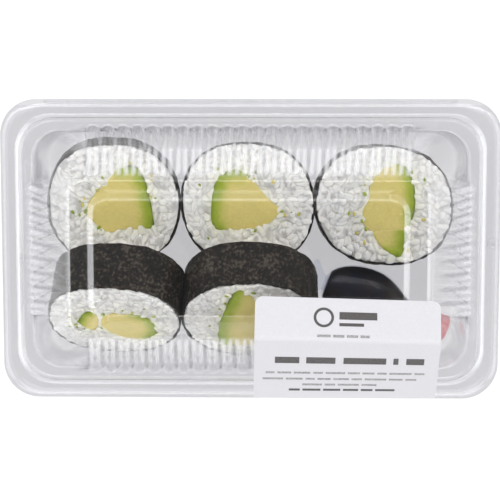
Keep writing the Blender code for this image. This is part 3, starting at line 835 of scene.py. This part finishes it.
def rice_core(roll):
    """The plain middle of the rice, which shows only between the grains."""
    rows = []
    for share, z in ((0.0, -1), (0.5, -1), (1.0, -1), (1.0, 1), (0.85, 1), (0.6, 1), (0.35, 1), (0.0, 1)):
        row = []
        for angle in turns(64):
            radius = (roll_radius(roll, angle) - NORI - CORE_INSET) * max(share, 0.02)
            x, y = radius * math.cos(angle), radius * math.sin(angle)
            bump = CORE_BUMP * roll_noise(roll, x, y, 9.0, 2.4 * MM)
            row.append(leaned(roll, x, y, z * (ROLL_LENGTH / 2 - CORE_DEPTH + bump)))
        rows.append(row)
    return loft(rows, True, True)


def build_rice(roll, finish):
    """Real grains over a plain core, on both cut faces."""
    rng = random.Random(roll["seed"])
    strips = [smooth_outline(strip["outline"], 3) for strip in roll["strips"]]
    verts, faces = rice_core(roll)
    upper = scatter(rng, roll, strips, GRAIN_SPACING, 1.8 * MM, 1.1 * MM)
    add_grains(verts, faces, rng, roll, upper, 1, 0.0)
    under = scatter(rng, roll, strips, GRAIN_SPACING, 1.9 * MM, 1.2 * MM)
    add_grains(verts, faces, rng, roll, under, -1, 0.25 * MM)
    obj = add_piece(f"rice_grains_{roll['name']}", verts, faces, finish)
    stain = []
    for vert in verts:
        away = min(line_distance(strip + strip[:1], upright_spot(roll, vert)) for strip in strips)
        stain.append(math.exp(-away / STAIN_REACH))
    set_values(obj, "stain", stain)
    set_roll_piece(obj, roll, f"rice_{roll['name']}")


def build_strip(roll, number, strip, finish):
    """One avocado strip. Its cut faces are slightly domed and uneven, and its colour follows its skin."""
    outline = smooth_outline(strip["outline"])[::-1]
    centre = sum(outline, Vector((0, 0))) / len(outline)
    skin_line = [Vector(p) * MM for p in strip["skin"]]
    half = ROLL_LENGTH / 2
    rows = []
    shares = (0.0, 0.12, 0.25, 0.38, 0.5, 0.62, 0.72, 0.81, 0.88, 0.94, 0.98, 1.0)
    for side in (-1, 1):
        order = shares if side < 0 else shares[::-1]
        for share in order:
            row = []
            for p in outline:
                x, y = centre + (p - centre) * max(share, 0.01)
                round_edge = STRIP_ROUNDING * max(0.0, share - STRIP_EDGE) / (1 - STRIP_EDGE)
                rough = STRIP_ROUGHNESS * roll_noise(roll, x, y, side * 5.0, 3.0 * MM)
                z = side * (half + (STRIP_STANDS if side > 0 else -0.1 * MM) - round_edge + rough)
                row.append(leaned(roll, x, y, z))
            rows.append(row)
    verts, faces = loft(rows, True, True)
    suffix = f"_{number}" if len(roll["strips"]) > 1 else ""
    obj = add_piece(f"avocado_strip_{roll['name']}{suffix}", verts, faces, finish)
    away = [line_distance(skin_line, upright_spot(roll, vert)) for vert in verts]
    set_values(obj, "green", [max(0.0, 1 - a / (strip["depth"] * MM)) for a in away])
    # Dark skin edge, which is also painted shade of the gap beside the strip
    set_values(obj, "skin", [strip["dark"] * max(0.0, 1 - a / SKIN_AND_GAP_SHADE_REACH) ** 0.8 for a in away])
    set_roll_piece(obj, roll, f"avocado_{roll['name']}{suffix}")


def crumb_spots(rng, roll):
    """Places on the rice close beside the strips, most of them nearest the strips."""
    strips = [smooth_outline(strip["outline"], 3) for strip in roll["strips"]]
    spots = []
    while len(spots) < CRUMBS_A_ROLL:
        spot = Vector((rng.uniform(-1, 1), rng.uniform(-1, 1))) * roll["half_height"]
        away = min(line_distance(outline + outline[:1], spot) for outline in strips)
        if any(inside(outline, spot) for outline in strips) or away > rng.expovariate(1 / CRUMB_REACH):
            continue
        if spot.length < 0.85 * roll_radius(roll, math.atan2(spot.y, spot.x)):
            spots.append(spot)
    return spots


def build_crumbs(finish):
    """Scraps of the fillings that the knife left on the rice, as one piece."""
    rng = random.Random(31)
    verts, faces, greens = [], [], []
    for roll in ROLLS:
        turn = Euler((roll["tilt"], 0.0, roll["turn"])).to_matrix()
        for spot in crumb_spots(rng, roll):
            size = rng.uniform(*CRUMB_SIZES)
            spin = Matrix.Rotation(rng.uniform(0, math.pi), 3, "Z")
            middle = leaned(roll, spot.x, spot.y, ROLL_LENGTH / 2 + CUT_STANDS + 0.1 * MM)
            green = rng.uniform(0.1, 1.0)
            faces += [tuple(len(verts) + i for i in face) for face in GRAIN_FACES]
            for v in GRAIN_VERTS:
                p = spin @ Vector((v.x * size, v.y * size * 1.4, v.z * 0.2))
                verts.append(roll["middle"] + turn @ (middle + p))
                greens.append(green)
    obj = add_piece("avocado_crumbs", verts, faces, finish)
    set_values(obj, "green", greens)
    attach(obj, "tray")


# dark is how dark the skin edge gets: dark skin, and painted shade of the gap beside it
def strip(outline, skin, depth, dark):
    """A strip's outline and the line of its skin, in millimetres from the roll's axis."""
    return {"outline": outline, "skin": skin, "depth": depth, "dark": dark}


def standing_roll(name, seed, x, y, half_width, half_height, lean, lobe, wave, strips):
    """A roll that stands on one cut face. Its other cut face is centred on x and y."""
    return {
        "name": name,
        "seed": seed,
        "middle": Vector(((x - lean[0]) * MM, (y - lean[1]) * MM, STANDING + ROLL_LENGTH / 2)),
        "half_width": half_width * MM,
        "half_height": half_height * MM,
        "lean": (lean[0] * MM, lean[1] * MM),
        "lobe": lobe * MM,
        "wave": wave * MM,
        "tilt": 0.0,
        "turn": 0.0,
        "strips": strips,
        "pressed": [],
    }


def leaning_roll(name, seed, x, y, half_width, half_height, tilt, turn, lobe, wave, strips):
    """A roll on its lower edge that leans back on the rolls behind, with its cut face to the front."""
    tilt = math.radians(tilt)
    roll = standing_roll(name, seed, x, y, half_width, half_height, (0, 0), lobe, wave, strips)
    lowest = ROLL_LENGTH / 2 * math.cos(tilt) + half_height * MM * math.sin(tilt)
    roll["middle"] = Vector((x * MM, y * MM, STANDING + lowest))
    roll["tilt"] = tilt
    roll["turn"] = math.radians(turn)
    return roll


STRIP_BACK_LEFT = strip(
    [
        (14, -3.8), (13.6, -8.6), (4, -9), (-2, -10), (-6.8, -6.6),
        (-9.6, -1), (-1, 9.4), (3, 13.2), (8.6, 13), (12, 6.5),
    ],
    [(3, 14.2), (9.4, 13.4), (12.6, 6.8), (14.8, -4), (14.4, -9)],
    7.6,
    0.95,
)
STRIP_BACK_MIDDLE = strip(
    [
        (11.2, -2.3), (7.8, -6.6), (3, -8.6), (-10.4, -9.2), (-12.8, -6.2), (-12.6, 3),
        (-10.6, 9.4), (-6, 12.3), (-2.4, 11.8), (1.6, 8.6), (6.6, 2.6),
    ],
    [(-11.6, -9.8), (-13.5, -6.2), (-13.2, 3.2), (-11.2, 10), (-6.2, 13.1), (-3, 12.8)],
    7.5,
    0.4,
)
STRIP_BACK_RIGHT = strip(
    [
        (10.8, 0.6), (9.8, -5.2), (6.6, -9.4), (-3.6, -9.6), (-8.4, -4.2),
        (-5.4, 2.6), (-4.6, 8.6), (2.2, 14.2), (7.4, 13.6), (10.2, 8),
    ],
    [(7.6, 14.6), (10.9, 8.2), (11.4, 0.6), (10.4, -5.6)],
    6.4,
    0.9,
)
STRIP_BACK_RIGHT_LOW = strip(
    [(7.4, -9), (6.2, -17.6), (2.4, -17.6), (-2.8, -12.6), (-2.9, -8.8)],
    [(8, -10.4), (7, -18.2), (2.2, -18.2)],
    7.0,
    0.3,
)
STRIP_FRONT_LEFT = strip(
    [
        (15.2, -4.4), (12.2, -10.6), (4.8, -11.4), (-1.4, -8.2),
        (-4.4, -2), (-1.6, 4.4), (7.4, 5.4), (13, 2.4),
    ],
    [(8, 7), (14, 3.4), (16, -4.4), (12.6, -11.4)],
    6.0,
    0.2,
)
STRIP_FRONT_LEFT_SIDE = strip(
    [(-5.6, -4.4), (-8.4, -7.4), (-12.4, -3), (-10.6, 3), (-7.8, 5.2), (-5.6, 2.2)],
    [(-13, -4), (-11.4, 3.6), (-8, 6)],
    5.0,
    0.8,
)
STRIP_FRONT_MIDDLE = strip(
    [
        (7.6, -4), (5, -12.8), (-4.6, -15.4), (-11, -13.6), (-11.8, -6),
        (-9.4, 5), (-5.6, 16.4), (-1.6, 16.6), (4.2, 9),
    ],
    [(-12, -14), (-12.6, -6), (-10.2, 5.2), (-6, 17.2)],
    8.0,
    0.7,
)

ROLLS = [
    standing_roll("back_left", 11, -48.6, 15.7, 23.5, 21.6, (1.5, -1.5), -0.3, 0.5, [STRIP_BACK_LEFT]),
    standing_roll("back_middle", 12, -0.9, 15.8, 23.4, 22.0, (0.3, 1.0), -0.4, 0.5, [STRIP_BACK_MIDDLE]),
    standing_roll(
        "back_right", 13, 47.4, 15.4, 24.2, 21.4, (0.3, 0.7), -0.5, 0.3,
        [STRIP_BACK_RIGHT, STRIP_BACK_RIGHT_LOW],
    ),
    leaning_roll(
        "front_left", 14, -47.4, -17.6, 23.1, 21.8, 50, -4, 0.6, 0.3,
        [STRIP_FRONT_LEFT, STRIP_FRONT_LEFT_SIDE],
    ),
    leaning_roll("front_middle", 15, 0.5, -17.9, 23.5, 21.9, 46, 0, -0.2, 0.4, [STRIP_FRONT_MIDDLE]),
]


# Where soft rolls bulge against one another: (roll, side, how far)
for number, side, amount in (
    (0, 0.0, 0.55), (1, math.pi, 0.55), (1, 0.0, 0.5), (2, math.pi, 0.5), (3, 0.0, 0.85), (4, math.pi, 0.85)
):
    ROLLS[number]["pressed"].append((side, amount * MM))


# The soy sauce bottle, along local X with its mouth at +X


def bottle_half_width(x):
    """Half the fish-shaped body's width: a full belly, a quick taper to the tail and a slim neck."""
    if x >= BOTTLE_SHOULDER:
        return NECK_RADIUS
    if x < 0:
        return TAIL_ROOT + (BOTTLE_BELLY - TAIL_ROOT) * math.sqrt(max(0.0, 1 - (x / BOTTLE_TAIL_END) ** 2))
    fall = (1 + math.cos(math.pi * x / BOTTLE_SHOULDER)) / 2
    return NECK_RADIUS + (BOTTLE_BELLY - NECK_RADIUS) * fall**0.55


def bottle_half_thickness(x):
    width = bottle_half_width(x)
    flattening = (BOTTLE_HALF_THICKNESS - NECK_RADIUS) / (BOTTLE_BELLY - NECK_RADIUS)
    return min(width, NECK_RADIUS + (width - NECK_RADIUS) * flattening)


def bottle_row(x, inward=0.0):
    half_width, half_thick = bottle_half_width(x) - inward, bottle_half_thickness(x) - inward
    return [Vector((x, half_width * math.cos(a), half_thick * math.sin(a))) for a in turns(40)]


def bottle_piece(name, shape, finish, slot, *nodes):
    obj = add_piece(name, *shape, finish)
    place = Matrix.Translation((*BOTTLE_MIDDLE, STANDING + BOTTLE_HALF_THICKNESS))
    obj.data.transform(place @ Matrix.Rotation(BOTTLE_TURN, 4, "Z"))
    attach(obj, "tray")
    if nodes:
        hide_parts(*nodes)
    return obj


def spread_stations(start, end):
    """Places along the bottle that crowd together at both ends."""
    middle, half = (start + end) / 2, (end - start) / 2
    return [middle - half * math.cos(math.pi * i / BOTTLE_STEPS) for i in range(BOTTLE_STEPS + 1)]


def build_bottle(finish):
    stations = spread_stations(BOTTLE_TAIL_END + 0.2 * MM, BOTTLE_SHOULDER)
    stations += [BOTTLE_SHOULDER + 1 * MM, CAP_START, NECK_END]
    shape = loft([bottle_row(x) for x in stations], first_cap=True)
    shell_piece = bottle_piece("bottle_shell", shape, finish, "bottle_plastic", "bottle")
    wall(shell_piece, BOTTLE_WALL * 0.8)
    outline = smooth_outline(
        [(-14.6, 1.7), (-17.6, 3.4), (-21, 7), (-22.6, 5.6), (-20.6, 0)]
        + [(-22.6, -5.6), (-21, -7), (-17.6, -3.4), (-14.6, -1.7)],
        6,
    )
    rows = []
    for share, z in ((0.9, -1.0), (1.0, -0.6), (1.0, 0.6), (0.9, 1.0)):
        hub = Vector((-19 * MM, 0))
        row = [hub + (p - hub) * share for p in outline]
        rows.append([Vector((p.x, p.y, z * TAIL_THICKNESS / 2)) for p in row])
    bottle_piece("bottle_tail", loft(rows, True, True), finish, "bottle_plastic")


def build_soy_sauce(finish):
    """The sauce fills the bottle and reaches just into its wall."""
    rows = [bottle_row(x, BOTTLE_WALL * 0.5) for x in spread_stations(SOY_START, SOY_END)]
    bottle_piece("soy_sauce_fill", loft(rows, True, True), finish, "soy_sauce", "soy_sauce")


def build_cap(finish):
    """A screw cap with fine ribs round its side."""
    profile = [
        (CAP_RADIUS * 0.8, CAP_START, 0.0),
        (CAP_RADIUS - 0.3 * MM, CAP_START, 0.0),
        (CAP_RADIUS, CAP_START + 0.3 * MM, 0.3),
        (CAP_RADIUS, CAP_START + 1.2 * MM, 1.0),
        (CAP_RADIUS, CAP_END - 1.6 * MM, 1.0),
        (CAP_RADIUS, CAP_END - 0.9 * MM, 0.2),
        (CAP_RADIUS - 0.2 * MM, CAP_END - 0.3 * MM, 0.0),
        (CAP_RADIUS - 0.7 * MM, CAP_END, 0.0),
        (CAP_RADIUS * 0.5, CAP_END, 0.0),
    ]
    rows = []
    for radius, x, ribbed in profile:
        row = []
        for angle in turns(CAP_RIBS * 6):
            reach = radius - CAP_RIB_DEPTH * ribbed * abs(math.sin(CAP_RIBS * angle / 2)) ** 0.6
            row.append(Vector((x, reach * math.cos(angle), reach * math.sin(angle))))
        rows.append(row)
    bottle_piece("screw_cap", loft(rows, True, True), finish, "cap_plastic", "bottle_cap")


# The label


def label_profile(steps):
    """Points (y, z) of the label's underside, evenly spread from its back edge to the flange."""
    top = LID_TOP + GAP
    crease = -LID_RIM[1] - LABEL_CREASE_OUT
    low = Vector((LABEL_FRONT, FLANGE_TOP + SHEET + 2 * GAP))
    slope = math.atan2(top - low.y, crease - low.x)
    start = crease + LABEL_BEND_RADIUS * math.tan(slope / 2)
    corners = [Vector((LABEL_BACK, top))]
    for i in range(LABEL_BEND_STEPS + 1):
        turned = slope * i / LABEL_BEND_STEPS
        along = LABEL_BEND_RADIUS * math.sin(turned)
        fallen = LABEL_BEND_RADIUS * (1 - math.cos(turned))
        corners.append(Vector((start - along, top - fallen)))
    corners.append(low)
    lengths = [0.0]
    for a, b in zip(corners, corners[1:]):
        lengths.append(lengths[-1] + (b - a).length)
    points = []
    for i in range(steps + 1):
        reach = lengths[-1] * i / steps
        k = max(j for j in range(len(corners) - 1) if lengths[j] <= reach)
        share = (reach - lengths[k]) / (lengths[k + 1] - lengths[k])
        points.append(corners[k].lerp(corners[k + 1], min(1.0, share)))
    return points, lengths[-1]


PROFILE_STEPS = 96
LABEL_POINTS, LABEL_LENGTH = label_profile(PROFILE_STEPS)


def label_spot(across, down, lift):
    """A place on the label from its back left corner, lifted off its underside."""
    reach = max(0.0, min(0.9999, down / LABEL_LENGTH)) * PROFILE_STEPS
    k = int(reach)
    a, b = LABEL_POINTS[k], LABEL_POINTS[k + 1]
    flat = a.lerp(b, reach - k)
    along = (b - a).normalized()
    skew = across * LABEL_SLANT * (1 - down / LABEL_LENGTH)
    spread = (across - LABEL_WIDTH / 2) * LABEL_SPREAD * down / LABEL_LENGTH
    x = LABEL_LEFT + across + spread
    return Vector((x, flat.x - skew + along.y * lift, flat.y - along.x * lift))


def closed_sheet(lower, upper):
    """Two grids of points of the same size, joined round their rims, as (verts, faces)."""
    wide, deep = len(lower[0]), len(lower)
    layer = wide * deep
    faces = []
    for r in range(deep - 1):
        for i in range(r * wide, r * wide + wide - 1):
            faces.append((i, i + 1, i + wide + 1, i + wide))
            faces.append((layer + i + wide, layer + i + wide + 1, layer + i + 1, layer + i))
    rim = list(range(wide))
    rim += [r * wide + wide - 1 for r in range(1, deep)]
    rim += [(deep - 1) * wide + c for c in range(wide - 2, -1, -1)]
    rim += [r * wide for r in range(deep - 2, 0, -1)]
    for a, b in zip(rim, rim[1:] + rim[:1]):
        faces.append((a, layer + a, layer + b, b))
    return [v for grid in (lower, upper) for row in grid for v in row], faces


def build_label(finish):
    """The paper sheet. Its back corners are round, and its front edge lies just above the lid's flange."""
    quarter = [math.pi / 2 * i / LABEL_CORNER_STEPS for i in range(LABEL_CORNER_STEPS + 1)]
    corner = [(LABEL_CORNER * (1 - math.cos(a)), LABEL_CORNER * (1 - math.sin(a))) for a in quarter]
    columns = corner + [(LABEL_WIDTH / 2, 0.0)] + [(LABEL_WIDTH - x, drop) for x, drop in reversed(corner)]
    grids = []
    for lift in (0.0, LABEL_THICKNESS):
        grid = []
        for r in range(LABEL_ROWS + 1):
            share = r / LABEL_ROWS
            grid.append([label_spot(x, drop + (LABEL_LENGTH - drop) * share, lift) for x, drop in columns])
        grids.append(grid)
    obj = add_piece("label_sheet", *closed_sheet(*grids), finish, smooth=False)
    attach(obj, "lid")
    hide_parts("label")


def label_blocks(name, blocks, finish):
    """Printed bars, each (left, top, width, height) in millimetres from the label's back left corner."""
    verts, faces = [], []
    for left, top, width, height in blocks:
        across = [(left + width * i / 2) * MM for i in range(3)]
        down = [(top + height * i / 4) * MM for i in range(5)]
        grids = [[[label_spot(x, y, lift) for x in across] for y in down] for lift in INK_LIFTS]
        more, sides = closed_sheet(*grids)
        faces += [tuple(len(verts) + i for i in side) for side in sides]
        verts += more
    obj = add_piece(name, verts, faces, finish, smooth=False)
    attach(obj, "lid")


def bar_row(rng, left, right, top, height, least, most, gap):
    """Bars of uneven length that fill a row."""
    blocks = []
    x = left
    while x < right - least:
        width = min(rng.uniform(least, most), right - x)
        blocks.append((x, top, width, height))
        x += width + gap
    return blocks


def label_ring(name, across, down, outer, inner, finish):
    """A plain printed ring. Sizes in millimetres."""
    low, high = INK_LIFTS
    rows = []
    for radius, lift in ((outer, high), (outer, low), (inner, low), (inner, high)):
        spots = [(across + radius * math.cos(a), down + radius * math.sin(a)) for a in turns(48)]
        rows.append([label_spot(x * MM, y * MM, lift) for x, y in spots])
    obj = add_piece(name, *loft(rows, looped=True), finish, smooth=False)
    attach(obj, "lid")


def build_print(dark, grey):
    """A plain ring and bars in place of print."""
    rng = random.Random(21)
    words = [(7, 15.2), (17.5, 27.3), (30, 44.3), (46.7, 48.4), (51, 57)]
    title = [(left, 24.2, right - left, 3.8) for left, right in words]
    heading = [(28.2, 4.6, 12.6, 2.6), (28.2, 8.4, 8.2, 1.1)]
    last_row = bar_row(rng, 12, 50, 43.9, 1.3, 3, 7.5, 0.9)
    label_blocks("label_bars_dark", title + heading + last_row, dark)
    label_ring("label_ring", 23.0, 6.6, 3.4, 2.5, dark)
    fine = bar_row(rng, 20.8, 41.2, 12.5, 0.9, 2.5, 5, 0.8)
    for top, left, right in ((33.2, 4, 57.5), (37.0, 3, 58.5), (40.6, 16.5, 45.5)):
        fine += bar_row(rng, left, right, top, 1.2, 3, 7.5, 0.9)
    label_blocks("label_bars_grey", fine, grey)


# The room


def add_floor():
    size = 3.0
    verts = [Vector((x, y, 0)) for x, y in ((-size, -size), (size, -size), (size, size), (-size, size))]
    floor = add_piece("floor", verts, [(0, 1, 2, 3)], floor_material(), smooth=False)


def add_light(name, place, size, power):
    """A soft light that faces the pack."""
    light = bpy.data.lights.new(name, "AREA")
    light.shape = "RECTANGLE"
    light.size, light.size_y = size
    light.energy = power
    lamp = bpy.data.objects.new(name, light)
    lamp.location = place
    lamp.rotation_euler = (Vector((0, 0, 0.02)) - Vector(place)).to_track_quat("-Z", "Y").to_euler()
    bpy.context.scene.collection.objects.link(lamp)


def add_world():
    """Dark overhead and pale towards the horizon, so that flat plastic stays clear."""
    world = bpy.data.worlds.new("studio")
    world.use_nodes = True
    where = add_node(world, "TexCoord").outputs["Generated"]
    height = add_node(world, "SeparateXYZ", Vector=where).outputs["Z"]
    sky = add_ramp(world, height, [(0.35, (0.62, 0.63, 0.65)), (0.93, (0.05, 0.05, 0.05))])
    put(world, world.node_tree.nodes["Background"].inputs["Color"], sky)
    bpy.context.scene.world = world


def add_lights():
    add_light("light_left", (-0.62, 0.0, 0.34), (1.0, 0.4), 2.8)
    add_light("light_right", (0.62, 0.0, 0.34), (1.0, 0.4), 2.6)
    add_light("light_front", (0.0, -0.64, 0.64), (1.1, 0.5), 4.9)
    add_light("light_back", (0.0, 0.58, 0.7), (1.1, 0.5), 5.9)


def add_camera():
    """Looks down on the pack from a little behind and right of its middle, with the hinge side up."""
    place, target = Vector((0.012, 0.058, 0.545)), Vector((0.0, 0.0, 0.025))
    back = (place - target).normalized()
    up = (Vector((0, 1, 0)) - back * back.y).normalized()
    right = up.cross(back)
    camera = bpy.data.cameras.new("camera")
    camera.lens = 107.2
    camera.sensor_width = 36.0
    camera.clip_start = 0.01
    eye = bpy.data.objects.new("camera", camera)
    eye.matrix_world = Matrix.Translation(place) @ Matrix((right, up, back)).transposed().to_4x4()
    bpy.context.scene.collection.objects.link(eye)
    bpy.context.scene.camera = eye


def set_view():
    scene = bpy.context.scene
    scene.view_settings.view_transform = "Standard"
    scene.view_settings.look = "None"
    scene.cycles.transparent_max_bounces = 32
    scene.cycles.max_bounces = 14


lid_plastic = clear_material("lid_plastic", (0.975, 0.975, 0.98), 0.045, 0.85, 0.003)
tray_plastic = clear_material("tray_plastic", (0.845, 0.843, 0.853), 0.045, 0.85, 0.003)
soft_plastic = clear_material("bottle_plastic", (0.93, 0.94, 0.965), 0.012, 0.5, 0.0)
nori = nori_material()
rice = rice_material()
avocado = avocado_material()

add_camera()
add_floor()
add_world()
add_lights()
set_view()
build_tray(tray_plastic)
build_hinge(lid_plastic)
build_lid(lid_plastic)
for number, (x, y, lift, radius) in enumerate(BUTTONS, 1):
    dome(f"snap_button_{number}", x, y, lift, radius, lid_plastic)
for roll in ROLLS:
    build_nori(roll, nori)
    build_rice(roll, rice)
    for number, one_strip in enumerate(roll["strips"], 1):
        build_strip(roll, number, one_strip, avocado)
build_crumbs(avocado)
build_bottle(soft_plastic)
build_soy_sauce(soy_material())
build_cap(cap_material())
build_label(paper_material())
build_print(
    print_material("print_dark", (0.06, 0.055, 0.055), (0.10, 0.09, 0.09)),
    print_material("print_grey", (0.20, 0.19, 0.19), (0.42, 0.41, 0.42)),
)
